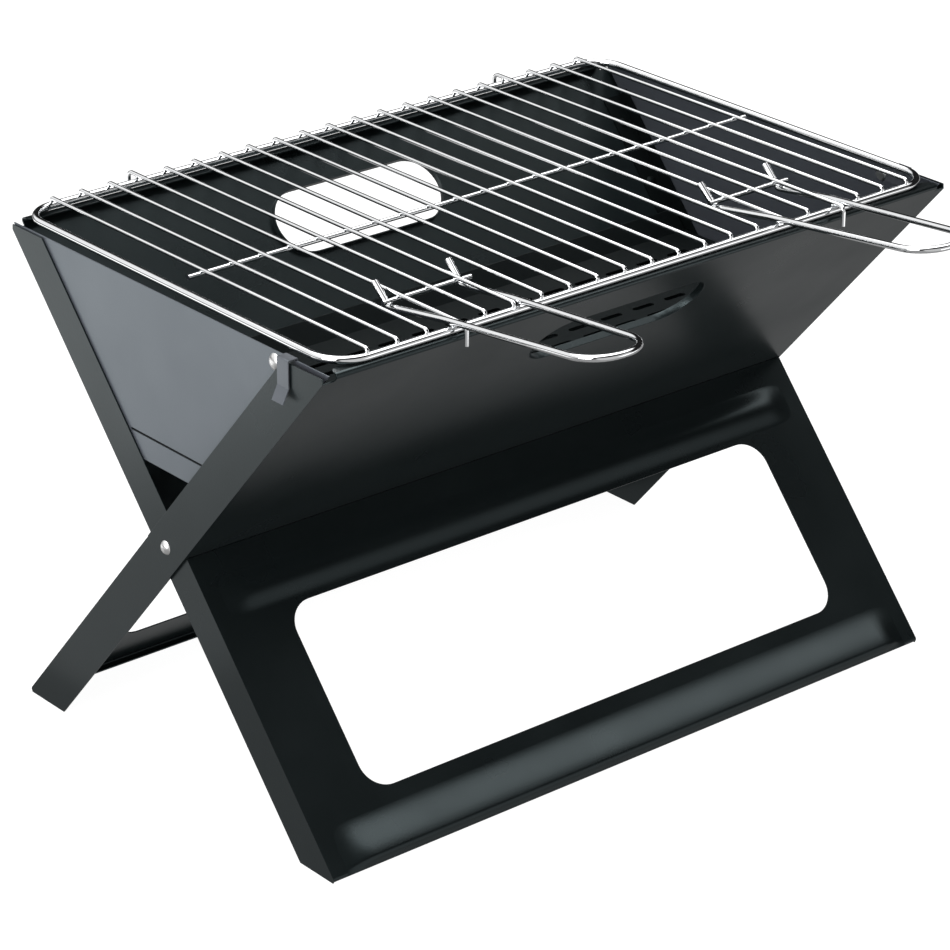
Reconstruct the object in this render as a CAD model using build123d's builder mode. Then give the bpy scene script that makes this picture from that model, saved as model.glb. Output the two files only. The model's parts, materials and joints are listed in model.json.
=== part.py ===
"""Folding camp grill: two sheet-metal frames that cross as an X, a firebox insert and a wire grid."""
from build123d import *
from math import acos, asin, atan2, cos, degrees, hypot, radians, sin, sqrt
import os

os.makedirs("parts", exist_ok=True)

# ---------------------------------------------------------------- driving sizes, mm and degrees
WIDTH = 450.0            # across the outer strips
LEAN = 41.3              # each arm of the X, from vertical
PIVOT_HEIGHT = 148.0
TOP_HEIGHT = 296.8       # flanges that the grid rests on
SHEET = 0.8
STRIP_B = 27.0           # end strips of the outer frame
FOLD_GAP = 0.7           # between nested frames when folded flat
LAYER_GAP = 0.3          # between the turning strips, along the pivot
CREASE_GAP = 0.25        # between the two sheets that meet at the crease
FLANGE = 10.0            # top edges, turned inwards
HEM = 8.0                # feet, turned inwards
BEND = 2.0               # outer bend radius
CORNER_CUT = 3.0         # chamfered strip ends
FLANGE_RELIEF = 7.0      # flange stops short of the strips
FLANGE_CORNER = 6.0

# ---------------------------------------------------------------- openings in the sheets
WINDOW_HALF = 178.0
WINDOW_LOW = 40.0        # from the foot, up the leg sheet
WINDOW_HIGH = 152.5
WINDOW_CORNER = 16.0
HAND_SLOT_LENGTH = 123.0
HAND_SLOT_WIDTH = 41.5
HAND_SLOT_DEPTH = 49.0   # centre, down from the top edge
LIP_DEPTH = 4.0          # slot edge, turned into the firebox

# ---------------------------------------------------------------- pivots and rivets
PIVOT_RADIUS = 3.0
PIVOT_CLEARANCE = 0.05
DOME_RADIUS = 4.2
DOME_HEIGHT = 2.3
WASHER_RADIUS = 6.5
WASHER_THICK = 1.0
RIVET_RADIUS = 1.6
RIVET_HEAD_RADIUS = 3.2
RIVET_HEAD_HEIGHT = 1.6
DOME_SHOULDER = (0.62, 0.72)    # point on a head, as shares of its radius and height
TAIL_TAPER = (0.8, 0.6)         # radii of a flattened tail, as shares of the head

# ---------------------------------------------------------------- firebox insert
PLATE_GAP = 0.4          # plate to the nearest strip
PLATE_EDGE_GAP = 1.6     # plate and tray edges to the wall sheets
PLATE_TOP = 295.6
PLATE_BOTTOM = 192.0
TRAY_HEIGHT = 206.5
TRAY_RIM = 12.0
TRAY_SLOT_LENGTH = 16.0
TRAY_SLOT_WIDTH = 4.0
TRAY_SLOT_PITCH_X = 25.0
TRAY_SLOT_PITCH_Y = 13.0
TRAY_SLOT_COLUMNS = 16
TRAY_SLOT_ROWS = 7
TAB_WIDTH = 70.0
TAB_CLEARANCE = 0.3
CLIP_SHEET = 0.8
CLIP_WIDTH = 9.5
CLIP_Y = -112.5          # clip centre, from the pivot plane
CLIP_DROP = 15.0
CLIP_FLARE_OUT = 4.0
CLIP_FLARE_DROP = 8.0
CLIP_GAP = 0.5           # clip to the strips it hangs over
CLIP_RIVET_Y = -99.5
CLIP_HEAD_RADIUS = 5.0
CLIP_RIVET_DOWN = 6.5    # rivet centre, below the plate's top edge
ANGLE_LEG = 14.0         # corner angles riveted to the rear wall
ANGLE_STAND = 9.0
ANGLE_GAP = 0.5          # corner angle to the end plate
ANGLE_TOP = 26.0         # down from the wall's top edge
ANGLE_LENGTH = 112.0
ANGLE_RIVET_FIRST = 44.0
ANGLE_RIVET_PITCH = 41.0
REST_WIDTH = 30.0        # tray rest riveted to the rear wall
REST_DEPTH = 6.0
REST_LEG = 16.0
REST_GAP = 0.5           # tray to its rest
TRAY_END_GAP = 0.8       # tray ends to the corner angles

# ---------------------------------------------------------------- cooking grid
RIM_WIRE = 4.6
RIM_HALF_X = 215.0
RIM_HALF_Y = 143.0
RIM_CORNER = 20.0
GRID_GAP = 0.2           # rim to the flanges under it
CROSS_WIRE = 2.5
CROSS_COUNT = 21
CROSS_PITCH = 19.5
CROSS_RISE = 2.2         # wires above the top of the rim, their ends bent down onto it
HOOK_FROM_END = 3        # hooked wires, counted in from each end
HOOK_DROP = 11.5
HOOK_OUT = 8.5           # hooks hang this far outside the rim
HOOK_BEND = 3.5
WIRE_BEND = 2.0
WELD = 0.25              # wires sink this far into each other
SUPPORT_WIRE = 3.0
SUPPORT_HALF = 204.0     # its free ends stop inside the rim
CROSSBAR_WIRE = 3.0
CROSSBAR_LENGTH = 60.0
CROSSBAR_Y = -95.0
HANDLE_WIRE = 4.0
HANDLE_HALF = 24.7       # legs at the crossbar, each side of the handle's middle
HANDLE_TAPER = 1.8       # each leg, inwards towards the loop
HANDLE_REACH = 254.0     # outer side of the loop, from the pivot plane
HANDLE_END_RISE = 12.0   # loop, above the crossbar
HANDLE_CORNER_INSET = 5.7    # loop corners, tighter than the half width by this
HANDLE_CLEARANCE = 0.2   # handle wire round its crossbar and over the rim
HANDLE_TURN = 40.0       # slight bend of each leg where it passes over the rim
STUB_LENGTH = 14.5       # short end of each leg, behind the crossbar
STUB_ANGLE = 43.0        # its rise, from level

# ---------------------------------------------------------------- values that follow from them
S = sin(radians(LEAN))
C = cos(radians(LEAN))
STRIP_A = STRIP_B - 2 * (SHEET + FOLD_GAP)
TOP_B_OUT = WIDTH / 2
LOW_B_OUT = TOP_B_OUT - SHEET
LOW_A_OUT = LOW_B_OUT - SHEET - LAYER_GAP
TOP_A_OUT = LOW_A_OUT - SHEET
TOP_A_IN = TOP_A_OUT - SHEET
PLATE_OUT = TOP_A_IN - PLATE_GAP
PLATE_IN = PLATE_OUT - SHEET
RIM_Z = TOP_HEIGHT + GRID_GAP + RIM_WIRE / 2
RIM_TOP = RIM_Z + RIM_WIRE / 2
CROSS_Z = RIM_TOP + CROSS_RISE
SUPPORT_Z = CROSS_Z - (CROSS_WIRE + SUPPORT_WIRE) / 2 + WELD
CROSSBAR_Z = CROSS_Z - (CROSS_WIRE + CROSSBAR_WIRE) / 2 + WELD
HOOK_END_Y = RIM_HALF_Y + HOOK_OUT
HOOK_REACH = HOOK_END_Y + CROSS_WIRE / 2
HOOK_X = CROSS_PITCH * ((CROSS_COUNT - 1) / 2 - HOOK_FROM_END)
HANDLE_X = HOOK_X - CROSS_PITCH
HANDLE_CORNER = HANDLE_HALF - HANDLE_CORNER_INSET
PIVOT_Y = (HANDLE_REACH - HOOK_REACH) / 2    # puts the origin under the middle of the whole grill

SIDE = Plane(origin=(0, PIVOT_Y, 0), x_dir=(0, 1, 0), z_dir=(1, 0, 0))
FRONT, REAR = -1, 1


def side_plane(x):
    """The side view's plane, moved along the grill's width."""
    return Plane(origin=(x, PIVOT_Y, 0), x_dir=(0, 1, 0), z_dir=(1, 0, 0))


def wall_plane(way, out):
    """Plane on a wall sheet: x across the grill, y up the arm from the pivot, z out of the firebox."""
    origin = Vector(0, PIVOT_Y + way * C * out, PIVOT_HEIGHT - S * out)
    return Plane(origin=origin, x_dir=(-way, 0, 0), z_dir=(0, way * C, -S))


def arm_point(way, along, out):
    """Side-view point on the arm whose top leans towards way."""
    return (way * (S * along + C * out), PIVOT_HEIGHT + C * along - S * out)


def along_at_height(height, out):
    """Distance up an arm at which a line parallel to it reaches a height."""
    return (height - PIVOT_HEIGHT + S * out) / C


def along_at_crossing(out, other_out):
    """Distance up an arm at which it meets a line of the other arm."""
    return -(other_out + out * cos(radians(2 * LEAN))) / sin(radians(2 * LEAN))


TOP_ALONG_B = along_at_height(TOP_HEIGHT, STRIP_B / 2)
TOP_ALONG_A = along_at_height(TOP_HEIGHT, STRIP_A / 2)


def bent_profile(points, inner_side):
    """Closed outline of a sheet whose outer face follows the points, bent with round corners."""
    outer = FilletPolyline(*points, radius=BEND)
    offset(outer, amount=SHEET, side=inner_side)


def upper_strip_points(way, width, other_width):
    """Outline of an upper end strip, from its lap below the pivot to its chamfered top."""
    half = width / 2
    top = TOP_HEIGHT - BEND
    outer_top = arm_point(way, along_at_height(top, half), half)
    return [
        arm_point(way, along_at_crossing(half, other_width / 2), half),
        arm_point(way, along_at_height(top - CORNER_CUT, half), half),
        (outer_top[0] - way * CORNER_CUT, top),
        arm_point(way, along_at_height(top, -half), -half),
        arm_point(way, along_at_crossing(-half, other_width / 2), -half),
    ]


def lower_strip_points(way, width, other_width):
    """Outline of a lower end strip, from its chamfered foot to its lap above the pivot."""
    half = width / 2
    outer_foot = arm_point(way, along_at_height(0, -half), -half)
    return [
        arm_point(way, along_at_crossing(-half, -other_width / 2), -half),
        arm_point(way, along_at_height(CORNER_CUT, -half), -half),
        (outer_foot[0] + way * CORNER_CUT, 0),
        arm_point(way, along_at_height(0, half), half),
        arm_point(way, along_at_crossing(half, -other_width / 2), half),
    ]


def add_strips(points, outer_x):
    """Both end strips of a frame, one sheet thick, inside outer_x."""
    for x in (-outer_x, outer_x - SHEET):
        with BuildSketch(side_plane(x)) as strip:
            Polygon(*points, align=None)
        extrude(strip.sketch, amount=SHEET)


def cut_pivot_holes(radius):
    """Round holes for the pivots, right through both ends."""
    with BuildSketch(side_plane(-WIDTH)) as hole:
        with Locations((0, PIVOT_HEIGHT)):
            Circle(radius)
    extrude(hole.sketch, amount=2 * WIDTH, mode=Mode.SUBTRACT)


def add_wall_sheet(way, width, other_width, outer_x):
    """Wall sheet, plain at its ends, with a top flange that stops short of the strips."""
    half = width / 2
    low = along_at_crossing(half, -other_width / 2) + CREASE_GAP
    corner = arm_point(way, along_at_height(TOP_HEIGHT, half), half)
    flange_half = outer_x - SHEET - FLANGE_RELIEF
    with BuildSketch(SIDE) as flanged:
        with BuildLine():
            flange_tip = (corner[0] - way * FLANGE, TOP_HEIGHT)
            inner_side = Side.RIGHT if way == FRONT else Side.LEFT
            bent_profile([arm_point(way, low, half), corner, flange_tip], inner_side)
        make_face()
    extrude(flanged.sketch, amount=flange_half, both=True)
    flange_tips = edges().filter_by(Axis.Z).group_by(Axis.Y)[-1 if way == FRONT else 0]
    fillet(flange_tips, FLANGE_CORNER)
    end_top = along_at_height(TOP_HEIGHT - BEND - CORNER_CUT, half)
    with BuildSketch(SIDE) as plain:
        Polygon(
            arm_point(way, low, half), arm_point(way, end_top, half),
            arm_point(way, end_top, half - SHEET), arm_point(way, low, half - SHEET), align=None,
        )
    extrude(plain.sketch, amount=outer_x, both=True)


def add_leg_sheet(way, width, other_width, outer_x):
    """Leg sheet with its turned-in foot and its window."""
    half = width / 2
    high = along_at_crossing(-half, other_width / 2) - CREASE_GAP
    foot_along = along_at_height(0, -half)
    foot = arm_point(way, foot_along, -half)
    with BuildSketch(SIDE) as bent:
        with BuildLine():
            inner_side = Side.LEFT if way == FRONT else Side.RIGHT
            bent_profile([(foot[0] + way * HEM, 0), foot, arm_point(way, high, -half)], inner_side)
        make_face()
    extrude(bent.sketch, amount=outer_x, both=True)
    with BuildSketch(wall_plane(way, -half)) as window:
        with Locations((0, foot_along + (WINDOW_LOW + WINDOW_HIGH) / 2)):
            RectangleRounded(2 * WINDOW_HALF, WINDOW_HIGH - WINDOW_LOW, WINDOW_CORNER)
    extrude(window.sketch, amount=2 * SHEET, both=True, mode=Mode.SUBTRACT)


def add_hand_slot(way, width, top_along):
    """Rounded slot near the wall's top, its edge turned into the firebox."""
    centre = (0, top_along - HAND_SLOT_DEPTH)
    with BuildSketch(wall_plane(way, width / 2)) as opening:
        with Locations(centre):
            SlotOverall(HAND_SLOT_LENGTH, HAND_SLOT_WIDTH)
    extrude(opening.sketch, amount=2 * SHEET, both=True, mode=Mode.SUBTRACT)
    with BuildSketch(wall_plane(way, width / 2)) as lip:
        with Locations(centre):
            SlotOverall(HAND_SLOT_LENGTH, HAND_SLOT_WIDTH)
            SlotOverall(HAND_SLOT_LENGTH - 2 * SHEET, HAND_SLOT_WIDTH - 2 * SHEET, mode=Mode.SUBTRACT)
    extrude(lip.sketch, amount=-LIP_DEPTH)


def save(part, name):
    """Label one finished sub-part and write it."""
    part.label = name
    export_step(part, "parts/" + name + ".step")


# ================================================================ frame A: rear wall and front legs
REST_ALONG = along_at_height(TRAY_HEIGHT - REST_GAP, STRIP_A / 2 - SHEET) - REST_LEG / 2
ANGLE_RIVETS = [TOP_ALONG_A - ANGLE_RIVET_FIRST - ANGLE_RIVET_PITCH * n for n in range(3)]
ANGLE_RIVET_X = PLATE_IN - ANGLE_GAP - SHEET - ANGLE_LEG / 2

with BuildPart() as rear_wall:
    add_wall_sheet(REAR, STRIP_A, STRIP_B, TOP_A_OUT)
    add_strips(upper_strip_points(REAR, STRIP_A, STRIP_B), TOP_A_OUT)
    cut_pivot_holes(PIVOT_RADIUS)
    add_hand_slot(REAR, STRIP_A, TOP_ALONG_A)
    with BuildSketch(wall_plane(REAR, STRIP_A / 2)) as rivet_holes:
        with Locations(*[(x, y) for x in (-ANGLE_RIVET_X, ANGLE_RIVET_X) for y in ANGLE_RIVETS]):
            Circle(RIVET_RADIUS)
        with Locations((0, REST_ALONG)):
            Circle(RIVET_RADIUS)
    extrude(rivet_holes.sketch, amount=2 * SHEET, both=True, mode=Mode.SUBTRACT)
save(rear_wall.part, "rear_wall")

with BuildPart() as front_leg_frame:
    add_leg_sheet(REAR, STRIP_A, STRIP_B, LOW_A_OUT)
    add_strips(lower_strip_points(REAR, STRIP_A, STRIP_B), LOW_A_OUT)
    cut_pivot_holes(PIVOT_RADIUS)
save(front_leg_frame.part, "front_leg_frame")

# ================================================================ frame B: front wall and rear legs
with BuildPart() as front_wall:
    add_wall_sheet(FRONT, STRIP_B, STRIP_A, TOP_B_OUT)
    add_strips(upper_strip_points(FRONT, STRIP_B, STRIP_A), TOP_B_OUT)
    cut_pivot_holes(PIVOT_RADIUS + PIVOT_CLEARANCE)
    add_hand_slot(FRONT, STRIP_B, TOP_ALONG_B)
save(front_wall.part, "front_wall")

with BuildPart() as rear_leg_frame:
    add_leg_sheet(FRONT, STRIP_B, STRIP_A, LOW_B_OUT)
    add_strips(lower_strip_points(FRONT, STRIP_B, STRIP_A), LOW_B_OUT)
    cut_pivot_holes(PIVOT_RADIUS + PIVOT_CLEARANCE)
save(rear_leg_frame.part, "rear_leg_frame")


# ================================================================ pivots
def rivet_profile(shank, reach, head, height, back):
    """Half outline of a rivet on the x axis: dome at x > 0, shank back to -reach, tail head behind it."""
    with BuildLine() as half:
        Line((-reach - back, 0), (height, 0))
        ThreePointArc((height, 0), (height * DOME_SHOULDER[1], head * DOME_SHOULDER[0]), (0, head))
        Polyline((0, head), (0, shank), (-reach, shank), (-reach, head * TAIL_TAPER[0]))
        Polyline((-reach, head * TAIL_TAPER[0]), (-reach - back, head * TAIL_TAPER[1]), (-reach - back, 0))
    make_face(half.edges())


for name, hand in (("left", -1), ("right", 1)):
    face_plane = Plane(
        origin=(hand * TOP_B_OUT, PIVOT_Y, PIVOT_HEIGHT),
        x_dir=(hand, 0, 0),
        z_dir=(0, -hand, 0),
    )
    with BuildPart() as pivot_rivet:
        with BuildSketch(face_plane):
            rivet_profile(PIVOT_RADIUS, TOP_B_OUT - TOP_A_IN + WASHER_THICK, DOME_RADIUS, DOME_HEIGHT, SHEET)
        revolve(axis=Axis((0, PIVOT_Y, PIVOT_HEIGHT), (1, 0, 0)))
    save(pivot_rivet.part, "pivot_rivet_" + name)

    washer_x = TOP_A_IN - WASHER_THICK if hand > 0 else -TOP_A_IN
    with BuildPart() as pivot_washer:
        with BuildSketch(side_plane(washer_x)):
            with Locations((0, PIVOT_HEIGHT)):
                Circle(WASHER_RADIUS)
                Circle(PIVOT_RADIUS, mode=Mode.SUBTRACT)
        extrude(amount=WASHER_THICK)
    save(pivot_washer.part, "pivot_washer_" + name)

# ================================================================ corner angles and tray rests
ANGLE_IN = STRIP_A / 2 - SHEET      # inner face of the rear wall, out from the arm's middle
ANGLE_CENTRE = TOP_ALONG_A - ANGLE_TOP - ANGLE_LENGTH / 2

for name, hand in (("left", -1), ("right", 1)):
    stand_x = hand * (PLATE_IN - ANGLE_GAP - SHEET / 2)
    leg_x = hand * (PLATE_IN - ANGLE_GAP - ANGLE_LEG / 2)
    with BuildPart() as corner_angle:
        with BuildSketch(wall_plane(REAR, ANGLE_IN)):
            with Locations((-leg_x, ANGLE_CENTRE)):
                Rectangle(ANGLE_LEG, ANGLE_LENGTH)
            with Locations(*[(-hand * ANGLE_RIVET_X, y) for y in ANGLE_RIVETS]):
                Circle(RIVET_RADIUS, mode=Mode.SUBTRACT)
        extrude(amount=-SHEET)
        with BuildSketch(wall_plane(REAR, ANGLE_IN)):
            with Locations((-stand_x, ANGLE_CENTRE)):
                Rectangle(SHEET, ANGLE_LENGTH)
        extrude(amount=-ANGLE_STAND)
    save(corner_angle.part, "corner_angle_" + name)

SHELF_TOP = TRAY_HEIGHT - REST_GAP
SHELF_WALL = arm_point(REAR, along_at_height(SHELF_TOP, ANGLE_IN), ANGLE_IN)
SHELF_TIP = (SHELF_WALL[0] - REST_DEPTH - PLATE_EDGE_GAP, SHELF_TOP)

with BuildPart() as tray_rest:
    with BuildSketch(SIDE):
        with BuildLine():
            rest_line = Polyline(SHELF_TIP, SHELF_WALL, arm_point(REAR, REST_ALONG - REST_LEG / 2, ANGLE_IN))
            offset(rest_line, amount=SHEET, side=Side.RIGHT)
        make_face()
    extrude(amount=REST_WIDTH / 2, both=True)
    with BuildSketch(wall_plane(REAR, ANGLE_IN)):
        with Locations((0, REST_ALONG)):
            Circle(RIVET_RADIUS)
    extrude(amount=2 * SHEET, both=True, mode=Mode.SUBTRACT)
save(tray_rest.part, "tray_rest")


REAR_WALL_OUTSIDE = wall_plane(REAR, STRIP_A / 2)
WALL_RIVETS = [(x, y) for x in (-ANGLE_RIVET_X, ANGLE_RIVET_X) for y in ANGLE_RIVETS] + [(0, REST_ALONG)]

with BuildPart() as rear_wall_rivets:
    for place in WALL_RIVETS:
        spot = REAR_WALL_OUTSIDE.from_local_coords(Vector(*place, 0))
        inwards = -REAR_WALL_OUTSIDE.z_dir
        with BuildSketch(Plane(origin=spot + inwards * 2 * SHEET, x_dir=inwards, z_dir=(1, 0, 0))) as outline:
            rivet_profile(RIVET_RADIUS, 2 * SHEET, RIVET_HEAD_RADIUS, RIVET_HEAD_HEIGHT, SHEET)
        revolve(outline.sketch, axis=Axis(spot, inwards))
save(rear_wall_rivets.part, "rear_wall_rivets")

# ================================================================ firebox insert: end plates, tray, clips
FRONT_EDGE = STRIP_B / 2 - SHEET - PLATE_EDGE_GAP    # plate and tray edges, out from each arm's middle
REAR_EDGE = STRIP_A / 2 - SHEET - PLATE_EDGE_GAP
PLATE_OUTLINE = [
    arm_point(FRONT, along_at_height(PLATE_BOTTOM, FRONT_EDGE), FRONT_EDGE),
    arm_point(FRONT, along_at_height(PLATE_TOP, FRONT_EDGE), FRONT_EDGE),
    arm_point(REAR, along_at_height(PLATE_TOP, REAR_EDGE), REAR_EDGE),
    arm_point(REAR, along_at_height(PLATE_BOTTOM, REAR_EDGE), REAR_EDGE),
]
TRAY_FRONT = arm_point(FRONT, along_at_height(TRAY_HEIGHT, FRONT_EDGE), FRONT_EDGE)[0]
TRAY_REAR = arm_point(REAR, along_at_height(TRAY_HEIGHT, REAR_EDGE), REAR_EDGE)[0]
TRAY_MIDDLE = (TRAY_FRONT + TRAY_REAR) / 2

for name, hand in (("left", -1), ("right", 1)):
    inner_x = PLATE_IN if hand > 0 else -PLATE_OUT
    with BuildPart() as end_plate:
        with BuildSketch(side_plane(inner_x)):
            Polygon(*PLATE_OUTLINE, align=None)
            with Locations((TRAY_MIDDLE, TRAY_HEIGHT + SHEET / 2)):
                Rectangle(TAB_WIDTH + 2 * TAB_CLEARANCE, SHEET + 2 * TAB_CLEARANCE, mode=Mode.SUBTRACT)
            with Locations((CLIP_RIVET_Y, PLATE_TOP - CLIP_RIVET_DOWN)):
                Circle(RIVET_RADIUS, mode=Mode.SUBTRACT)
        extrude(amount=SHEET)
    save(end_plate.part, "end_plate_" + name)

    clip_low = PLATE_TOP - CLIP_RIVET_DOWN - RIVET_HEAD_RADIUS
    bridge_z = max(PLATE_TOP, TOP_HEIGHT - BEND) + CLIP_GAP
    inside_x = hand * PLATE_IN
    outside_x = hand * (TOP_B_OUT + CLIP_GAP)
    clip_plane = Plane(origin=(0, PIVOT_Y + CLIP_Y, 0), x_dir=(1, 0, 0), z_dir=(0, -1, 0))
    with BuildPart() as latch_clip:
        with BuildSketch(clip_plane):
            with BuildLine():
                inner_line = Polyline(
                    (inside_x, clip_low), (inside_x, bridge_z), (outside_x, bridge_z),
                    (outside_x, bridge_z - CLIP_DROP),
                    (outside_x + hand * CLIP_FLARE_OUT, bridge_z - CLIP_DROP - CLIP_FLARE_DROP),
                )
                offset(inner_line, amount=CLIP_SHEET, side=Side.LEFT if hand > 0 else Side.RIGHT)
            make_face()
        extrude(amount=CLIP_WIDTH / 2, both=True)
        with BuildSketch(side_plane(inside_x)):
            with Locations(((CLIP_Y + CLIP_RIVET_Y) / 2, PLATE_TOP - CLIP_RIVET_DOWN)):
                SlotOverall(CLIP_WIDTH + CLIP_RIVET_Y - CLIP_Y + RIVET_HEAD_RADIUS, 2 * RIVET_HEAD_RADIUS)
        extrude(amount=-hand * CLIP_SHEET)
        with BuildSketch(side_plane(inside_x)):
            with Locations((CLIP_RIVET_Y, PLATE_TOP - CLIP_RIVET_DOWN)):
                Circle(RIVET_RADIUS)
        extrude(amount=-hand * 2 * CLIP_SHEET, mode=Mode.SUBTRACT)
    save(latch_clip.part, "latch_clip_" + name)

    rivet_z = PLATE_TOP - CLIP_RIVET_DOWN
    face_plane = Plane(
        origin=(hand * PLATE_OUT, PIVOT_Y + CLIP_RIVET_Y, rivet_z), x_dir=(hand, 0, 0), z_dir=(0, -hand, 0)
    )
    with BuildPart() as clip_rivet:
        with BuildSketch(face_plane):
            rivet_profile(RIVET_RADIUS, SHEET + CLIP_SHEET, CLIP_HEAD_RADIUS, DOME_HEIGHT, SHEET)
        revolve(axis=Axis((0, PIVOT_Y + CLIP_RIVET_Y, rivet_z), (1, 0, 0)))
    save(clip_rivet.part, "clip_rivet_" + name)

TRAY_HALF_X = PLATE_IN - ANGLE_GAP - SHEET - TRAY_END_GAP
with BuildPart() as charcoal_tray:
    with BuildSketch(Plane.XY.offset(TRAY_HEIGHT)):
        with Locations((0, PIVOT_Y + TRAY_MIDDLE)):
            Rectangle(2 * TRAY_HALF_X, TRAY_REAR - TRAY_FRONT)
            Rectangle(2 * PLATE_OUT, TAB_WIDTH)
            with GridLocations(TRAY_SLOT_PITCH_X, TRAY_SLOT_PITCH_Y, TRAY_SLOT_COLUMNS, TRAY_SLOT_ROWS):
                SlotOverall(TRAY_SLOT_LENGTH, TRAY_SLOT_WIDTH, mode=Mode.SUBTRACT)
    extrude(amount=SHEET)
    for way, edge, edge_out in ((FRONT, TRAY_FRONT, FRONT_EDGE), (REAR, TRAY_REAR, REAR_EDGE)):
        rim_top = arm_point(way, along_at_height(TRAY_HEIGHT + TRAY_RIM, edge_out), edge_out)
        with BuildSketch(SIDE):
            Polygon(
                (edge, TRAY_HEIGHT), rim_top, (rim_top[0] - way * SHEET / C, rim_top[1]),
                (edge - way * SHEET / C, TRAY_HEIGHT), align=None,
            )
        extrude(amount=TRAY_HALF_X - SHEET, both=True)
save(charcoal_tray.part, "charcoal_tray")

# ================================================================ cooking grid
with BuildPart() as grid_rim:
    with BuildSketch(Plane(origin=(0, PIVOT_Y, RIM_Z)), mode=Mode.PRIVATE) as rim_shape:
        RectangleRounded(2 * RIM_HALF_X, 2 * RIM_HALF_Y, RIM_CORNER)
    with BuildSketch(Plane(origin=(0, PIVOT_Y - RIM_HALF_Y, RIM_Z), x_dir=(0, 1, 0), z_dir=(1, 0, 0))):
        Circle(RIM_WIRE / 2)
    sweep(path=rim_shape.sketch.faces()[0].outer_wire())
save(grid_rim.part, "grid_rim")


def cross_wire(x, end_y, tip_z, bend):
    """One wire across the rim, both ends bent down to tip_z."""
    with BuildLine(side_plane(x)) as route:
        FilletPolyline((-end_y, tip_z), (-end_y, CROSS_Z), (end_y, CROSS_Z), (end_y, tip_z), radius=bend)
    with BuildSketch(Plane(origin=route.wire() @ 0, z_dir=route.wire() % 0)) as section:
        Circle(CROSS_WIRE / 2)
    sweep(section.sketch, path=route.wire())


CROSS_X = [CROSS_PITCH * (n - (CROSS_COUNT - 1) / 2) for n in range(CROSS_COUNT)]
HOOKED = (HOOK_FROM_END, CROSS_COUNT - 1 - HOOK_FROM_END)

with BuildPart() as grid_cross_wires:
    for n, x in enumerate(CROSS_X):
        if n not in HOOKED:
            cross_wire(x, RIM_HALF_Y, RIM_TOP - WELD, WIRE_BEND)
save(grid_cross_wires.part, "grid_cross_wires")

with BuildPart() as grid_hook_wires:
    for n in HOOKED:
        cross_wire(CROSS_X[n], HOOK_END_Y, CROSS_Z - HOOK_DROP, HOOK_BEND)
save(grid_hook_wires.part, "grid_hook_wires")

with BuildPart() as grid_support_wire:
    with BuildSketch(side_plane(-SUPPORT_HALF)):
        with Locations((0, SUPPORT_Z)):
            Circle(SUPPORT_WIRE / 2)
    extrude(amount=2 * SUPPORT_HALF)
save(grid_support_wire.part, "grid_support_wire")

# ================================================================ handles
HUG = (CROSSBAR_WIRE + HANDLE_WIRE) / 2 + HANDLE_CLEARANCE     # handle wire's middle, from the crossbar's
TAPER_SIN = sin(radians(HANDLE_TAPER))
TAPER_COS = cos(radians(HANDLE_TAPER))
RISE_RUN = (RIM_WIRE - RIM_HALF_Y - CROSSBAR_Y) / TAPER_COS
OVER_RIM = RIM_TOP + HANDLE_WIRE / 2 + HANDLE_CLEARANCE
LOOP_Y = HANDLE_WIRE / 2 + HANDLE_CORNER * (1 - TAPER_SIN) - HANDLE_REACH
LOOP_RUN = (LOOP_Y - CROSSBAR_Y) / TAPER_COS
LOOP_START = (LOOP_RUN, CROSSBAR_Z + HANDLE_END_RISE)
LOOP_HALF = HANDLE_HALF + LOOP_RUN * TAPER_SIN
RISE_Z = OVER_RIM - CROSSBAR_Z
TOUCH_ANGLE = degrees(atan2(RISE_Z, RISE_RUN) + acos(HUG / hypot(RISE_RUN, RISE_Z)))
HUG_SWEEP = 270 + STUB_ANGLE - TOUCH_ANGLE

for name, hand in (("left", -1), ("right", 1)):
    middle = hand * HANDLE_X
    with BuildPart() as crossbar:
        with BuildSketch(side_plane(middle - CROSSBAR_LENGTH / 2)):
            with Locations((CROSSBAR_Y, CROSSBAR_Z)):
                Circle(CROSSBAR_WIRE / 2)
        extrude(amount=CROSSBAR_LENGTH)
    save(crossbar.part, "handle_crossbar_" + name)

    leg_plane = Plane(
        origin=(middle - HANDLE_HALF, PIVOT_Y + CROSSBAR_Y, 0),
        x_dir=(-TAPER_SIN, TAPER_COS, 0), z_dir=(TAPER_COS, TAPER_SIN, 0),
    )
    with BuildPart() as handle:
        with BuildLine(leg_plane) as leg:
            hug = CenterArc((0, CROSSBAR_Z), HUG, TOUCH_ANGLE, HUG_SWEEP)
            PolarLine(hug @ 1, STUB_LENGTH, angle=STUB_ANGLE)
            FilletPolyline(hug @ 0, (RISE_RUN, OVER_RIM), LOOP_START, radius=HANDLE_TURN)
        run = (leg.wire() % 1) if (leg.wire() % 1).Y < 0 else -(leg.wire() % 0)
        corner = Vector(middle - LOOP_HALF, PIVOT_Y + LOOP_Y, LOOP_START[1])
        with BuildLine(Plane(origin=corner, x_dir=(1, 0, 0), z_dir=Vector(1, 0, 0).cross(run))) as loop:
            turn = JernArc((0, 0), (run.X, sqrt(1 - run.X ** 2)), HANDLE_CORNER, degrees(asin(run.X)) - 90)
            Line(turn @ 1, (LOOP_HALF, HANDLE_CORNER * (1 - run.X)))
        route = Wire([*leg.edges(), *loop.edges()])
        with BuildSketch(Plane(origin=route @ 0, z_dir=route % 0)):
            Circle(HANDLE_WIRE / 2)
        sweep(path=route)
        mirror(about=Plane.YZ.offset(middle))
    save(handle.part, "handle_" + name)
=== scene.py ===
"""Looks of a folding camp grill: black painted sheet steel, chrome wire grid and handles."""
import bmesh
import bpy
import json
from math import acos, asin, atan2, cos, pi, radians, sin, sqrt
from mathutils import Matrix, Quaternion, Vector


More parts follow.
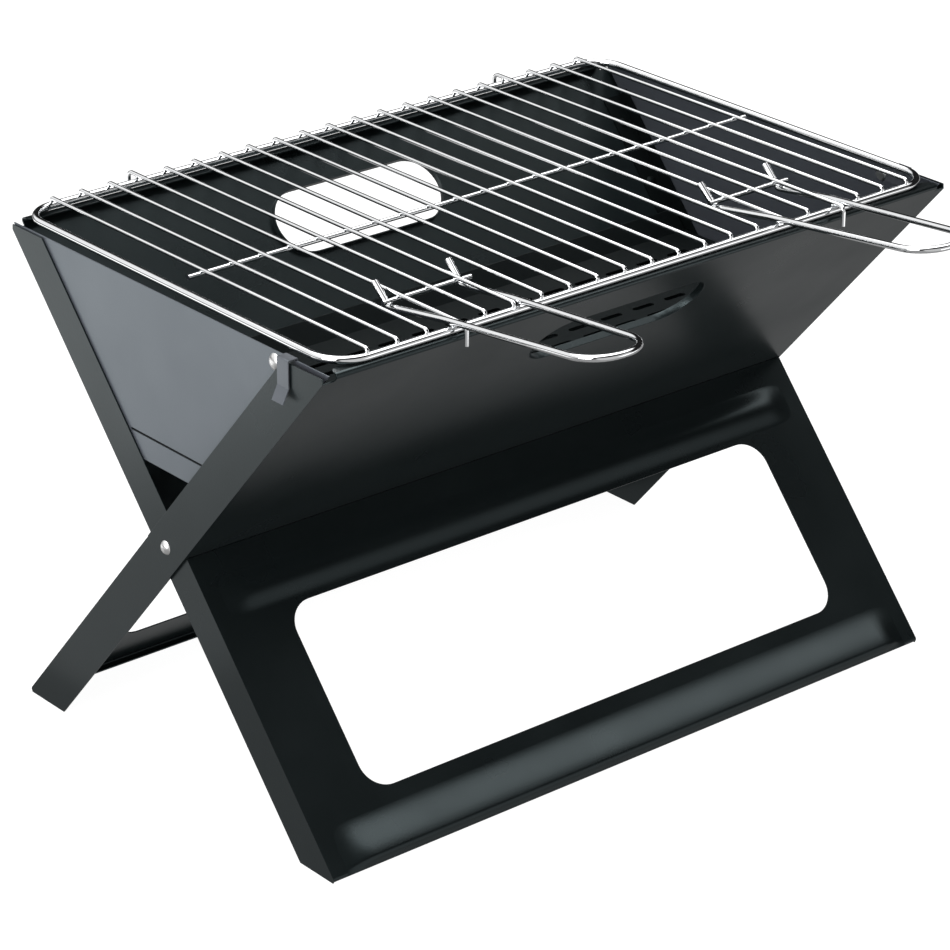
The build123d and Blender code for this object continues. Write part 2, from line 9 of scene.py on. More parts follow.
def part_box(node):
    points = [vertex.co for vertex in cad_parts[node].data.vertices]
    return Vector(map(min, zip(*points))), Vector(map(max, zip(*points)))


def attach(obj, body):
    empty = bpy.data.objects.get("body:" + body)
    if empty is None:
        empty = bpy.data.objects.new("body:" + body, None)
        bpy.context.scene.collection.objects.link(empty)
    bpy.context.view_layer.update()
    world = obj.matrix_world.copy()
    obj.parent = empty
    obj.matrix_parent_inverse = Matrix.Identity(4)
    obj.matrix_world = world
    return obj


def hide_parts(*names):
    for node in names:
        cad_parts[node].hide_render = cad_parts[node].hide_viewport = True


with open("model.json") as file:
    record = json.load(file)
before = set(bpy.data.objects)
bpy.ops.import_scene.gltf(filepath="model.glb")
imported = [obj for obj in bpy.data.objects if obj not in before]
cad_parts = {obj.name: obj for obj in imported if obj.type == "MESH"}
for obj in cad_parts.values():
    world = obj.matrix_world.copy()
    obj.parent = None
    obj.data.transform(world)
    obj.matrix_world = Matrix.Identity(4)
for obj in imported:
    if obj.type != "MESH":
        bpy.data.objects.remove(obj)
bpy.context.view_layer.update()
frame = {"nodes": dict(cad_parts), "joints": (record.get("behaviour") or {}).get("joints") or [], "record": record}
nodes = frame["nodes"]
MM = 0.001

# ---------------------------------------------------------------- places taken from the frame
JOINTS = {joint["name"]: joint for joint in frame["joints"]}
PIVOT = Vector(JOINTS["frame_fold"]["pos_m"])
LEAN = radians(JOINTS["frame_fold"]["range_deg"][1]) / 2
SHEET = 0.8 * MM
FRONT, REAR = -1, 1


def arm_direction(way):
    """Unit vector up the arm whose top leans towards way."""
    return Vector((0, way * sin(LEAN), cos(LEAN)))


def arm_normal(way):
    """Unit vector out of the wall on that arm."""
    return Vector((0, way * cos(LEAN), -sin(LEAN)))


# ---------------------------------------------------------------- materials
def new_material(name, color, metallic, roughness):
    """Node material with a Principled shader; returns it with its node tree's nodes and links."""
    material = bpy.data.materials.new(name)
    material.use_nodes = True
    tree = material.node_tree
    shader = tree.nodes["Principled BSDF"]
    shader.inputs["Base Color"].default_value = (*color, 1)
    shader.inputs["Metallic"].default_value = metallic
    shader.inputs["Roughness"].default_value = roughness
    return material, tree, shader


def noise(tree, scale, detail=3.0, stretch=(1, 1, 1)):
    """Noise on object coordinates, in cells per metre."""
    where = tree.nodes.new("ShaderNodeTexCoord")
    turn = tree.nodes.new("ShaderNodeMapping")
    turn.inputs["Scale"].default_value = stretch
    field = tree.nodes.new("ShaderNodeTexNoise")
    field.inputs["Scale"].default_value = scale
    field.inputs["Detail"].default_value = detail
    tree.links.new(where.outputs["Object"], turn.inputs["Vector"])
    tree.links.new(turn.outputs["Vector"], field.inputs["Vector"])
    return field.outputs["Fac"]


def spread(tree, value, low, high):
    """Map a 0.3 to 0.7 noise value onto low to high."""
    ramp = tree.nodes.new("ShaderNodeMapRange")
    ramp.inputs["From Min"].default_value = 0.3
    ramp.inputs["From Max"].default_value = 0.7
    ramp.inputs["To Min"].default_value = low
    ramp.inputs["To Max"].default_value = high
    tree.links.new(value, ramp.inputs["Value"])
    return ramp.outputs["Result"]


def tint(tree, value, dark, light):
    """Colour that wanders between two close shades."""
    mix = tree.nodes.new("ShaderNodeMix")
    mix.data_type = "RGBA"
    mix.inputs["A"].default_value = (*dark, 1)
    mix.inputs["B"].default_value = (*light, 1)
    tree.links.new(value, mix.inputs["Factor"])
    return mix.outputs["Result"]


def bump(tree, shader, height, distance, strength=1.0):
    """Fine relief from a height value."""
    relief = tree.nodes.new("ShaderNodeBump")
    relief.inputs["Strength"].default_value = strength
    relief.inputs["Distance"].default_value = distance
    tree.links.new(height, relief.inputs["Height"])
    tree.links.new(relief.outputs["Normal"], shader.inputs["Normal"])


def black_paint(name, dark, light, smooth, rough, grain=0.00003, shine=0.5):
    """Baked black enamel: faint orange peel, cloudy gloss, hardly any colour change."""
    material, tree, shader = new_material(name, dark, 0.0, smooth)
    shader.inputs["Specular IOR Level"].default_value = shine
    shader.inputs["Specular Tint"].default_value = (0.78, 0.96, 1.0, 1)
    cloud = noise(tree, 14, 4)
    tree.links.new(spread(tree, cloud, smooth, rough), shader.inputs["Roughness"])
    tree.links.new(tint(tree, noise(tree, 45, 2), dark, light), shader.inputs["Base Color"])
    bump(tree, shader, noise(tree, 900, 2), grain)
    return material


def bright_wire(name, color, smooth, rough):
    """Plated wire with faint drawing marks and breath-soft patches."""
    material, tree, shader = new_material(name, color, 1.0, smooth)
    tree.links.new(spread(tree, noise(tree, 160, 3), smooth, rough), shader.inputs["Roughness"])
    duller = tuple(0.9 * c for c in color)
    tree.links.new(tint(tree, noise(tree, 60, 2), duller, color), shader.inputs["Base Color"])
    bump(tree, shader, noise(tree, 1500, 2), 0.00001, 0.5)
    return material


WALL = black_paint("wall_paint", (0.0022, 0.0034, 0.0036), (0.0040, 0.0056, 0.0060), 0.26, 0.34)
LEG = black_paint("leg_paint", (0.0022, 0.0034, 0.0036), (0.0038, 0.0053, 0.0057), 0.26, 0.34)
# The end plates are the same black enamel as the walls. Their base colour is lifted to grey as a painted
# reflection of the bright surroundings, so this is a lit copy of the wall paint.
PLATE_PAINTED_REFLECTION = black_paint("plate_paint", (0.052, 0.056, 0.067), (0.062, 0.066, 0.078), 0.34, 0.42, shine=1.0)
FIREBOX = black_paint("firebox_paint", (0.0015, 0.0020, 0.0022), (0.003, 0.004, 0.004), 0.5, 0.65,
                      shine=0.12)
CLIP = black_paint("clip_steel", (0.062, 0.066, 0.076), (0.092, 0.097, 0.110), 0.3, 0.4)
RIVET = bright_wire("rivet_steel", (0.80, 0.80, 0.80), 0.24, 0.34)
CHROME = bright_wire("grid_chrome", (0.88, 0.89, 0.90), 0.05, 0.11)
HANDLE = bright_wire("handle_chrome", (0.88, 0.89, 0.90), 0.04, 0.09)
FINISH = {
    "wall_paint": WALL, "leg_paint": LEG, "plate_paint": PLATE_PAINTED_REFLECTION, "firebox_paint": FIREBOX,
    "clip_steel": CLIP, "rivet_steel": RIVET, "grid_chrome": CHROME, "handle_chrome": HANDLE,
}
SLOT_OF = {part["node"]: part["material_slot"] for part in frame["record"]["subparts"]}


def dress(piece, slot):
    """Give a piece one finish."""
    piece.data.materials.clear()
    piece.data.materials.append(FINISH[slot])


for name, node in nodes.items():
    dress(node, SLOT_OF[name])


def body_of_node(name):
    """Body that a CAD node rides on."""
    bodies = frame["record"]["behaviour"]["bodies"]
    return next(body for body, members in bodies.items() if name in members)


def adopt(piece, body, slot):
    """Dress a new piece and let it ride on a body."""
    dress(piece, slot)
    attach(piece, body)
    return piece


def object_from(name, mesh):
    """Link a mesh into the scene as an object at the origin."""
    piece = bpy.data.objects.new(name, mesh)
    bpy.context.scene.collection.objects.link(piece)
    return piece


def apply_modifiers(piece):
    """Turn a piece and its modifiers into one plain mesh."""
    graph = bpy.context.evaluated_depsgraph_get()
    mesh = bpy.data.meshes.new_from_object(piece.evaluated_get(graph))
    piece.modifiers.clear()
    piece.data = mesh
    return piece


# ---------------------------------------------------------------- sheet metal with rounded edges
EDGE_ROUND = 0.75 * MM
PLAIN_SHARE = 0.33          # ordinary cut edges, as a share of the rolled slot edges
SLOT_REACH = Vector((63 * MM, 0, 22 * MM))
SLOT_DOWN = 49 * MM
SLOT_TOP = 2.2 * MM         # level from which the slot's depth is taken, below the box's top
SLOT_SKIN = 1.5 * MM        # how far off the outer face still counts as the slot's outer edge
PLAIN_ANGLE = radians(30)
FLAT_ANGLE = radians(0.5)
SAME_POINT = 0.001 * MM


def slot_centre(way, name):
    """Middle of the hand slot on a wall's outer face."""
    low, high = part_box(name)
    edge_y = low[1] if way == FRONT else high[1]
    top = Vector((0, edge_y, high[2] - SLOT_TOP))
    return top - arm_direction(way) * SLOT_DOWN


def near_slot(point, centre, way):
    """True on the wall's outer face right round the hand slot."""
    away = point - centre
    out = away.dot(arm_normal(way))
    up = away.dot(arm_direction(way))
    return abs(out) < SLOT_SKIN and abs(away.x) < SLOT_REACH.x and abs(up) < SLOT_REACH.z


def soften(name, way=None):
    """Copy of a sheet node with its edges rounded off; it stands for the node."""
    mesh = nodes[name].data.copy()
    work = bmesh.new()
    work.from_mesh(mesh)
    bmesh.ops.remove_doubles(work, verts=work.verts, dist=SAME_POINT)
    bmesh.ops.dissolve_limit(work, angle_limit=FLAT_ANGLE, verts=work.verts, edges=work.edges)
    weight = work.edges.layers.float.new("bevel_weight_edge")
    centre = slot_centre(way, name) if way else None
    for edge in work.edges:
        if len(edge.link_faces) == 2 and edge.calc_face_angle(0) > PLAIN_ANGLE:
            rolled = way and all(near_slot(vert.co, centre, way) for vert in edge.verts)
            edge[weight] = 1.0 if rolled else PLAIN_SHARE
    work.to_mesh(mesh)
    work.free()
    piece = object_from(name + "_finished", mesh)
    bevel = piece.modifiers.new("edges", "BEVEL")
    bevel.width = EDGE_ROUND
    bevel.segments = 3
    bevel.limit_method = "WEIGHT"
    bevel.use_clamp_overlap = True
    bevel.harden_normals = True
    apply_modifiers(piece)
    adopt(piece, body_of_node(name), SLOT_OF[name])
    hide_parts(name)
    return piece


soften("rear_wall", REAR)
soften("front_wall", FRONT)
for name in ("front_leg_frame", "rear_leg_frame", "end_plate_left", "end_plate_right",
             "latch_clip_left", "latch_clip_right", "charcoal_tray"):
    soften(name)

# ---------------------------------------------------------------- wires
WIRE_SIDES = 14
BEND_STEPS = 6


def socket(tree, name, kind, way="INPUT"):
    """New named socket on a node tree."""
    return tree.interface.new_socket(name, in_out=way, socket_type="NodeSocket" + kind)


def wire_tree():
    """Tree that turns a path into wire and repeats it along the grill's width."""
    tree = bpy.data.node_groups.new("bent_wires", "GeometryNodeTree")
    for name, kind in (("Path", "Geometry"), ("Wire radius", "Float"), ("Count", "Int"),
                       ("Pitch", "Float"), ("First", "Float"), ("Skip from ends", "Int"),
                       ("Finish", "Material")):
        socket(tree, name, kind)
    socket(tree, "Wires", "Geometry", "OUTPUT")
    add, link = tree.nodes.new, tree.links.new
    given, result = add("NodeGroupInput"), add("NodeGroupOutput")
    curve = add("GeometryNodeMeshToCurve")
    ring = add("GeometryNodeCurvePrimitiveCircle")
    ring.inputs["Resolution"].default_value = WIRE_SIDES
    tube = add("GeometryNodeCurveToMesh")
    tube.inputs["Fill Caps"].default_value = True
    line = add("GeometryNodeMeshLine")
    first, step = add("ShaderNodeCombineXYZ"), add("ShaderNodeCombineXYZ")
    index = add("GeometryNodeInputIndex")
    mirrored = add("ShaderNodeMath")
    mirrored.operation = "SUBTRACT"
    last = add("ShaderNodeMath")
    last.operation = "SUBTRACT"
    last.inputs[1].default_value = 1
    nearest = add("ShaderNodeMath")
    nearest.operation = "MINIMUM"
    differs = add("ShaderNodeMath")
    differs.operation = "COMPARE"
    differs.inputs[2].default_value = 0.1
    keep = add("ShaderNodeMath")
    keep.operation = "SUBTRACT"
    keep.inputs[0].default_value = 1
    place = add("GeometryNodeInstanceOnPoints")
    real = add("GeometryNodeRealizeInstances")
    smooth = add("GeometryNodeSetShadeSmooth")
    paint = add("GeometryNodeSetMaterial")
    link(given.outputs["Path"], curve.inputs["Mesh"])
    link(given.outputs["Wire radius"], ring.inputs["Radius"])
    link(curve.outputs["Curve"], tube.inputs["Curve"])
    link(ring.outputs["Curve"], tube.inputs["Profile Curve"])
    link(given.outputs["First"], first.inputs["X"])
    link(given.outputs["Pitch"], step.inputs["X"])
    link(given.outputs["Count"], line.inputs["Count"])
    link(first.outputs["Vector"], line.inputs["Start Location"])
    link(step.outputs["Vector"], line.inputs["Offset"])
    link(given.outputs["Count"], last.inputs[0])
    link(last.outputs[0], mirrored.inputs[0])
    link(index.outputs[0], mirrored.inputs[1])
    link(index.outputs[0], nearest.inputs[0])
    link(mirrored.outputs[0], nearest.inputs[1])
    link(nearest.outputs[0], differs.inputs[0])
    link(given.outputs["Skip from ends"], differs.inputs[1])
    link(differs.outputs[0], keep.inputs[1])
    link(line.outputs["Mesh"], place.inputs["Points"])
    link(keep.outputs[0], place.inputs["Selection"])
    link(tube.outputs["Mesh"], place.inputs["Instance"])
    link(place.outputs["Instances"], real.inputs["Geometry"])
    link(real.outputs["Geometry"], smooth.inputs[0])
    link(smooth.outputs[0], paint.inputs["Geometry"])
    link(given.outputs["Finish"], paint.inputs["Material"])
    link(paint.outputs["Geometry"], result.inputs["Wires"])
    return tree


def nub_tree():
    """Tree that puts a small uneven weld bead on every point."""
    tree = bpy.data.node_groups.new("weld_nubs", "GeometryNodeTree")
    for name, kind in (("Spots", "Geometry"), ("Nub radius", "Float"), ("Seed", "Int"),
                       ("Finish", "Material")):
        socket(tree, name, kind)
    socket(tree, "Nubs", "Geometry", "OUTPUT")
    add, link = tree.nodes.new, tree.links.new
    given, result = add("NodeGroupInput"), add("NodeGroupOutput")
    bead = add("GeometryNodeMeshIcoSphere")
    bead.inputs["Subdivisions"].default_value = 2
    size = add("FunctionNodeRandomValue")
    size.data_type = "FLOAT_VECTOR"
    size.inputs[0].default_value = (0.9, 0.75, 0.6)
    size.inputs[1].default_value = (1.25, 1.1, 0.9)
    place = add("GeometryNodeInstanceOnPoints")
    real = add("GeometryNodeRealizeInstances")
    smooth = add("GeometryNodeSetShadeSmooth")
    paint = add("GeometryNodeSetMaterial")
    link(given.outputs["Nub radius"], bead.inputs["Radius"])
    link(given.outputs["Seed"], size.inputs["Seed"])
    link(given.outputs["Spots"], place.inputs["Points"])
    link(bead.outputs["Mesh"], place.inputs["Instance"])
    link(size.outputs[0], place.inputs["Scale"])
    link(place.outputs["Instances"], real.inputs["Geometry"])
    link(real.outputs["Geometry"], smooth.inputs[0])
    link(smooth.outputs[0], paint.inputs["Geometry"])
    link(given.outputs["Finish"], paint.inputs["Material"])
    link(paint.outputs["Geometry"], result.inputs["Nubs"])
    return tree


BENT_WIRES = wire_tree()
WELD_NUBS = nub_tree()


def run_tree(name, mesh, tree, values):
    """Object from a mesh that a node tree has worked on, as plain geometry."""
    piece = object_from(name, mesh)
    modifier = piece.modifiers.new("work", "NODES")
    modifier.node_group = tree
    for item in tree.interface.items_tree:
        if item.in_out == "INPUT" and item.name in values:
            modifier[item.identifier] = values[item.name]
    return apply_modifiers(piece)


def path_mesh(name, points, closed=False):
    """Mesh of one line of edges."""
    mesh = bpy.data.meshes.new(name)
    joins = [(n, n + 1) for n in range(len(points) - 1)]
    if closed:
        joins.append((len(points) - 1, 0))
    mesh.from_pydata([tuple(point) for point in points], joins, [])
    return mesh


def rounded(points, radius, steps=BEND_STEPS):
    """Polyline with its inner corners rounded."""
    line = [points[0]]
    for before, here, after in zip(points, points[1:], points[2:]):
        back = (before - here).normalized()
        on = (after - here).normalized()
        half = back.angle(on) / 2
        reach = radius * cos(half) / sin(half)
        centre = here + (back + on).normalized() * radius / sin(half)
        start = here + back * reach - centre
        turn = start.rotation_difference(here + on * reach - centre)
        for n in range(steps + 1):
            line.append(centre + Quaternion().slerp(turn, n / steps) @ start)
    line.append(points[-1])
    return line


def wires(name, path, radius, slot, body, replaced, count=1, pitch=0.0, first=0.0, skip=-1,
          closed=False):
    """Wire piece along a path, repeated across the grill, in place of some nodes."""
    values = {"Wire radius": radius, "Count": count, "Pitch": pitch, "First": first,
              "Skip from ends": skip, "Finish": FINISH[slot]}
    piece = run_tree(name, path_mesh(name, path, closed), BENT_WIRES, values)
    adopt(piece, body, slot)
    for node in replaced:
        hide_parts(node)
    return piece


rim_low, rim_high = (Vector(v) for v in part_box("grid_rim"))
cross_low, cross_high = (Vector(v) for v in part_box("grid_cross_wires"))
hook_low, hook_high = (Vector(v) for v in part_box("grid_hook_wires"))
support_low, support_high = (Vector(v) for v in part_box("grid_support_wire"))
RIM_R = (rim_high.z - rim_low.z) / 2
CROSS_R = 1.25 * MM
CROSS_COUNT = 21
CROSS_BEND = 2.0 * MM
HOOK_SKIP = 3               # cross wires outside each hooked one
HOOK_BEND = 3.5 * MM
RIM_CORNER = 20 * MM
CORNER_STEPS = 12
RIM_MIDDLE = (rim_low + rim_high) / 2
CROSS_Z = cross_high.z - CROSS_R
CROSS_SPAN = cross_high.x - cross_low.x - 2 * CROSS_R
PITCH = CROSS_SPAN / (CROSS_COUNT - 1)


def rim_path():
    """Centre line of the rim, a rounded rectangle."""
    half_x = (rim_high.x - rim_low.x) / 2 - RIM_R
    half_y = (rim_high.y - rim_low.y) / 2 - RIM_R
    points = []
    for n, (sx, sy) in enumerate(((1, 1), (-1, 1), (-1, -1), (1, -1))):
        for k in range(CORNER_STEPS + 1):
            angle = pi / 2 * (n + k / CORNER_STEPS)
            x = sx * (half_x - RIM_CORNER) + RIM_CORNER * cos(angle)
            y = sy * (half_y - RIM_CORNER) + RIM_CORNER * sin(angle)
            points.append(RIM_MIDDLE + Vector((x, y, 0)))
    return points


def crossing_path(low, high, tip_z, bend):
    """Wire over the rim with both ends bent down."""
    front, rear = low.y + CROSS_R, high.y - CROSS_R
    corners = ((front, tip_z), (front, CROSS_Z), (rear, CROSS_Z), (rear, tip_z))
    return rounded([Vector((0, y, z)) for y, z in corners], bend)


wires("rim_wire", rim_path(), RIM_R, "grid_chrome", "cooking_grid", ["grid_rim"], closed=True)
wires("cross_wires", crossing_path(cross_low, cross_high, cross_low.z, CROSS_BEND), CROSS_R,
      "grid_chrome", "cooking_grid", ["grid_cross_wires"], CROSS_COUNT, PITCH,
      cross_low.x + CROSS_R, HOOK_SKIP)
hook_span = hook_high.x - hook_low.x - 2 * CROSS_R
wires("hook_wires", crossing_path(hook_low, hook_high, hook_low.z, HOOK_BEND), CROSS_R,
      "grid_chrome", "cooking_grid", ["grid_hook_wires"], 2, hook_span, hook_low.x + CROSS_R)
SUPPORT_R = (support_high.z - support_low.z) / 2
support_middle = (support_low + support_high) / 2
support_ends = [Vector((x, support_middle.y, support_middle.z)) for x in (support_low.x, support_high.x)]
wires("support_wire", support_ends, SUPPORT_R, "grid_chrome", "cooking_grid", ["grid_support_wire"])

WELD_SUNK = 0.1 * MM
CROSS_X = [cross_low.x + CROSS_R + n * PITCH for n in range(CROSS_COUNT)]
RIM_Y = rim_low.y + RIM_R, rim_high.y - RIM_R
weld_spots = []
for n, x in enumerate(CROSS_X):
    weld_spots.append((x, support_middle.y, support_middle.z + SUPPORT_R))
    if n in (HOOK_SKIP, CROSS_COUNT - 1 - HOOK_SKIP):
        weld_spots += [(x, y, CROSS_Z - CROSS_R) for y in RIM_Y]
    else:
        weld_spots += [(x, y, rim_high.z - WELD_SUNK) for y in RIM_Y]

# ---------------------------------------------------------------- wire handles
HANDLE_R = 2.0 * MM
BAR_R = 1.5 * MM
HANDLE_GAP = 0.2 * MM               # clearance to the crossbar and to the rim
HANDLE_HALF = 24.7 * MM             # legs each side of the handle's middle, at the crossbar
HANDLE_TAPER = radians(1.8)
HANDLE_CORNER = 19.0 * MM
HANDLE_END_RISE = 12.0 * MM
HANDLE_SAG = 40.0 * MM              # radius of the bend over the rim
STUB_LENGTH = 14.5 * MM
STUB_ANGLE = radians(43.0)
HUG = HANDLE_R + BAR_R + HANDLE_GAP
HUG_STEPS = 20


def handle_leg(bar, over_rim, loop_y):
    """One handle leg, from its free tip round the crossbar and out: how far along, how high."""
    run = (over_rim.y - bar.y, over_rim.z - bar.z)
    touch = atan2(run[1], run[0]) + acos(HUG / sqrt(run[0] ** 2 + run[1] ** 2))
    if touch > pi:
        touch -= 2 * pi
    if touch < 0:
        touch += 2 * pi
    end = 1.5 * pi + STUB_ANGLE
    leg = [(HUG * cos(end) + STUB_LENGTH * cos(STUB_ANGLE),
            HUG * sin(end) + STUB_LENGTH * sin(STUB_ANGLE))]
    for n in range(HUG_STEPS + 1):
        angle = end + (touch - end) * n / HUG_STEPS
        leg.append((HUG * cos(angle), HUG * sin(angle)))
    along = loop_y + HANDLE_CORNER * (1 - sin(HANDLE_TAPER)) - bar.y
    rise = [Vector((0, *leg[-1])), Vector((0, *run)),
            Vector((0, along / cos(HANDLE_TAPER), HANDLE_END_RISE))]
    return leg + [(point.y, point.z) for point in rounded(rise, HANDLE_SAG)[1:]]


def loop_sweep(last, heading):
    """Rounded corner from the end of a leg to the middle of the loop."""
    flat = Vector((0, heading.y, heading.z)).normalized()
    lean = asin(heading.x)
    sweep = []
    for n in range(1, CORNER_STEPS + 1):
        angle = lean + (pi / 2 - lean) * n / CORNER_STEPS
        inwards = Vector((1, 0, 0)) * HANDLE_CORNER * (cos(lean) - cos(angle))
        sweep.append(last + inwards + flat * HANDLE_CORNER * (sin(angle) - sin(lean)))
    return sweep


for side in ("left", "right"):
    bar_low, bar_high = (Vector(v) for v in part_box("handle_crossbar_" + side))
    bar = (bar_low + bar_high) / 2
    bar_ends = [Vector((bar_low.x, bar.y, bar.z)), Vector((bar_high.x, bar.y, bar.z))]
    wires("crossbar_" + side, bar_ends, BAR_R, "grid_chrome", "cooking_grid",
          ["handle_crossbar_" + side])
    weld_spots += [(x, bar.y, bar.z + BAR_R) for x in CROSS_X if bar_low.x < x < bar_high.x]
    handle_low = Vector(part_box("handle_" + side)[0])
    over_rim = Vector((0, rim_low.y + RIM_R + 2 * RIM_R, rim_high.z + HANDLE_R + HANDLE_GAP))
    left_side = [
        Vector((bar.x - HANDLE_HALF - u * sin(HANDLE_TAPER), bar.y + u * cos(HANDLE_TAPER), bar.z + v))
        for u, v in handle_leg(bar, over_rim, handle_low.y + HANDLE_R)
    ]
    last, before = left_side[-1], left_side[-2]
    left_side += loop_sweep(last, (last - before).normalized())
    right_side = [Vector((2 * bar.x - point.x, point.y, point.z)) for point in reversed(left_side)]
    wires("handle_wire_" + side, left_side + right_side, HANDLE_R, "handle_chrome", "handle_" + side,
          ["handle_" + side])

spots = bpy.data.meshes.new("weld_spots")
spots.from_pydata(weld_spots, [], [])
nubs = run_tree("grid_welds", spots, WELD_NUBS,
                {"Nub radius": 1.25 * MM, "Seed": 7, "Finish": FINISH["grid_chrome"]})
adopt(nubs, "cooking_grid", "grid_chrome")

# ---------------------------------------------------------------- ribs pressed into the leg sheets
RIB_HALF_X = 213 * MM
RIB_FADE = 15 * MM
RIB_SUNK = 0.04 * MM
RIB_COLUMNS, RIB_ROWS = 90, 22
HALF_A, HALF_B = 12.0 * MM, 13.5 * MM       # half the depth of the end strips of each frame


def ease(value):
    """Smooth step from 0 to 1."""
    value = min(1.0, max(0.0, value))
    return value * value * (3 - 2 * value)


def bead(share):
    """Round rib across its width."""
    return (0.5 - 0.5 * cos(2 * pi * share)) ** 0.8


def swell(share):
    """Bottom rib: steep at the foot, then a long slope that dies out upwards."""
    return ease(share / 0.12) * (1 - ease((share - 0.1) / 0.9))


def pressed_rib(name, way, body, half, low, high, height, profile):
    """Raised rib on the outer face of a leg sheet, between two distances up from the foot."""
    up, out = arm_direction(way), -arm_normal(way)
    foot = PIVOT + out * half
    foot -= up * (foot.z / up.z)
    points, faces = [], []
    for row in range(RIB_ROWS + 1):
        share = row / RIB_ROWS
        for column in range(RIB_COLUMNS + 1):
            x = RIB_HALF_X * (2 * column / RIB_COLUMNS - 1)
            fade = ease((RIB_HALF_X - abs(x)) / RIB_FADE)
            lift = height * profile(share) * fade - RIB_SUNK
            points.append(foot + up * (low + (high - low) * share) + out * lift + Vector((x, 0, 0)))
    for row in range(RIB_ROWS):
        for column in range(RIB_COLUMNS):
            n = row * (RIB_COLUMNS + 1) + column
            ring = (n, n + 1, n + RIB_COLUMNS + 2, n + RIB_COLUMNS + 1)
            faces.append(ring if way == REAR else ring[::-1])
    mesh = bpy.data.meshes.new(name)
    mesh.from_pydata([tuple(point) for point in points], [], faces)
    mesh.polygons.foreach_set("use_smooth", [True] * len(mesh.polygons))
    adopt(object_from(name, mesh), body, "leg_paint")


# ---------------------------------------------------------------- lip behind the crease
LIP_HALF_X = 222 * MM
LIP_BACK = 1.3 * MM
LIP_REACH = 1.6 * MM
LIP_THICK = 0.3 * MM
LIP_ROUND = 0.1 * MM
LIP_DOWN = 0.2 * MM


def crease_lip(name, way, body, along, out):
    """Thin strip behind a leg sheet's top edge, so that the crease does not show daylight."""
    up, outward = arm_direction(way), arm_normal(way)
    spine = PIVOT + up * along + outward * out
    corners = []
    for x in (-LIP_HALF_X, LIP_HALF_X):
        for rise in (-LIP_REACH, LIP_REACH):
            for depth in (0.0, LIP_THICK):
                corners.append(tuple(spine + up * rise + outward * depth + Vector((x, 0, 0))))
    sides = [(0, 1, 3, 2), (4, 6, 7, 5), (0, 4, 5, 1), (2, 3, 7, 6), (0, 2, 6, 4), (1, 5, 7, 3)]
    mesh = bpy.data.meshes.new(name)
    mesh.from_pydata(corners, [], sides)
    work = bmesh.new()
    work.from_mesh(mesh)
    bmesh.ops.recalc_face_normals(work, faces=work.faces)
    bmesh.ops.bevel(work, geom=work.edges[:], offset=LIP_ROUND, segments=1, affect="EDGES")
    work.to_mesh(mesh)
    work.free()
    adopt(object_from(name, mesh), body, "firebox_paint")


FRONT_CREASE = -(HALF_B - HALF_A * cos(2 * LEAN)) / sin(2 * LEAN)
crease_lip("front_crease_lip", REAR, "frame_a", FRONT_CREASE - LIP_DOWN, -HALF_A + LIP_BACK)

TOP_RIB = 155 * MM, 181 * MM, 2.4 * MM      # where it starts and ends up the leg, and its height
FOOT_RIB = 2.5 * MM, 32 * MM, 4.6 * MM
for way, side, body, half in ((REAR, "front", "frame_a", HALF_A), (FRONT, "rear", "frame_b", HALF_B)):
    pressed_rib(side + "_leg_top_rib", way, body, half, *TOP_RIB, bead)
    pressed_rib(side + "_leg_foot_rib", way, body, half, *FOOT_RIB, swell)

# ---------------------------------------------------------------- stage
floor_mesh = bpy.data.meshes.new("floor")
FLOOR_HALF = 6.0
floor_corners = [(FLOOR_HALF * x, FLOOR_HALF * y, 0) for x, y in ((-1, -1), (1, -1), (1, 1), (-1, 1))]
floor_mesh.from_pydata(floor_corners, [], [(0, 1, 2, 3)])
floor = object_from("floor", floor_mesh)
floor_finish, floor_tree, floor_shader = new_material("floor_matt", (0.15, 0.15, 0.15), 0.0, 0.8)
floor.visible_glossy = False
floor_shader.inputs["Emission Color"].default_value = (1, 1, 1, 1)
floor_shader.inputs["Emission Strength"].default_value = 0.97
floor.data.materials.append(floor_finish)

world = bpy.data.worlds.new("studio")
bpy.context.scene.world = world
world.use_nodes = True
sky, sky_link = world.node_tree.nodes, world.node_tree.links.new
kind_of_ray = sky.new("ShaderNodeLightPath")
heading = sky.new("ShaderNodeTexCoord")
axes = sky.new("ShaderNodeSeparateXYZ")
sky_link(heading.outputs["Generated"], axes.inputs["Vector"])


def fade_in(axis, start, end, low=0.0, high=1.0):
    """Soft edge in the mirror surroundings, along one axis."""
    step = sky.new("ShaderNodeMapRange")
    step.interpolation_type = "SMOOTHSTEP"
    for name, value in (("From Min", start), ("From Max", end), ("To Min", low), ("To Max", high)):
        step.inputs[name].default_value = value
    sky_link(axes.outputs[axis], step.inputs["Value"])
    return step.outputs["Result"]


def combine(operation, first, second):
    """Two mirror surroundings combined."""
    join = sky.new("ShaderNodeMath")
    join.operation = operation
    for n, value in enumerate((first, second)):
        if isinstance(value, float):
            join.inputs[n].default_value = value
        else:
            sky_link(value, join.inputs[n])
    return join.outputs[0]


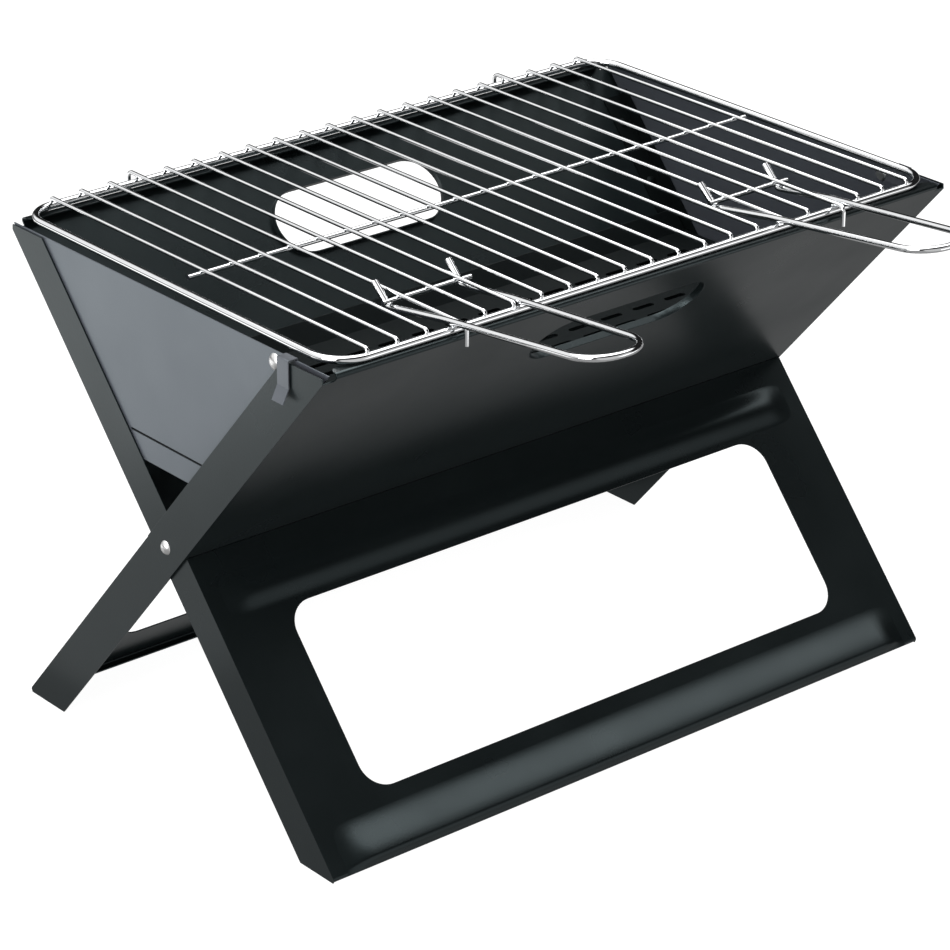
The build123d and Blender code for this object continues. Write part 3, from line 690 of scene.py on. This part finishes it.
overhead = fade_in("Z", 0.58, 0.78, 0.0, 2.8)
left_wall = combine("MULTIPLY", fade_in("Z", 0.06, 0.16), fade_in("X", 0.0, 0.3, 1.0, 0.0))
upper = combine("MULTIPLY", fade_in("Y", -0.49, -0.25), combine("MAXIMUM", overhead, left_wall))
lower = fade_in("Z", -0.12, -0.02, 0.32, 0.0)
front_low = combine("MULTIPLY", fade_in("Y", -0.74, -0.60, 0.6, 0.0), fade_in("Z", 0.32, 0.50, 1.0, 0.0))
around = combine("ADD", upper, combine("MAXIMUM", lower, front_low))
mirror = combine("ADD", around, 0.012)
pick = sky.new("ShaderNodeMix")
pick.inputs["A"].default_value = 0.95
sky_link(kind_of_ray.outputs["Is Glossy Ray"], pick.inputs["Factor"])
sky_link(mirror, pick.inputs["B"])
sky_link(pick.outputs["Result"], sky["Background"].inputs["Strength"])
sky["Background"].inputs["Color"].default_value = (1, 1, 1, 1)


def softbox(name, place, target, size, power):
    """Square area light that looks at a target."""
    light = bpy.data.lights.new(name, "AREA")
    light.shape = "RECTANGLE"
    light.size, light.size_y = size
    light.energy = power
    lamp = bpy.data.objects.new(name, light)
    bpy.context.scene.collection.objects.link(lamp)
    lamp.location = place
    lamp.rotation_euler = (Vector(target) - Vector(place)).to_track_quat("-Z", "Y").to_euler()
    return lamp


softbox("left_box", (-2.4, -0.6, 1.0), (0, 0, 0.15), (1.6, 1.6), 40)
softbox("top_box", (0.2, 0.4, 2.6), (0, 0, 0.2), (1.8, 1.8), 25)
for card in (softbox("left_card", (-1.10, 1.00, 0.002), (-1.10, 1.0001, 2.0), (1.7, 1.7), 2.4),
             softbox("left_far_card", (-1.15, 1.22, 0.004), (-1.15, 1.2201, 2.0), (1.6, 1.6), 7),
             softbox("front_card", (1.0, -1.20, 0.002), (1.0, -1.2001, 2.0), (1.6, 1.2), 7)):
    card.visible_camera = False
    card.visible_diffuse = False

# ---------------------------------------------------------------- camera
CAMERA_PLACE = Vector((-1.2799, PIVOT.y - 1.5335, 1.0377))
CAMERA_TURN = radians(-39.740)
CAMERA_DROP = radians(24.533)
camera_data = bpy.data.cameras.new("camera")
camera = bpy.data.objects.new("camera", camera_data)
bpy.context.scene.collection.objects.link(camera)
camera_data.sensor_width = 36
camera_data.lens = 142.43
camera.location = CAMERA_PLACE
camera.rotation_euler = (pi / 2 - CAMERA_DROP, 0, CAMERA_TURN)
bpy.context.scene.camera = camera
bpy.context.scene.view_settings.view_transform = "Standard"
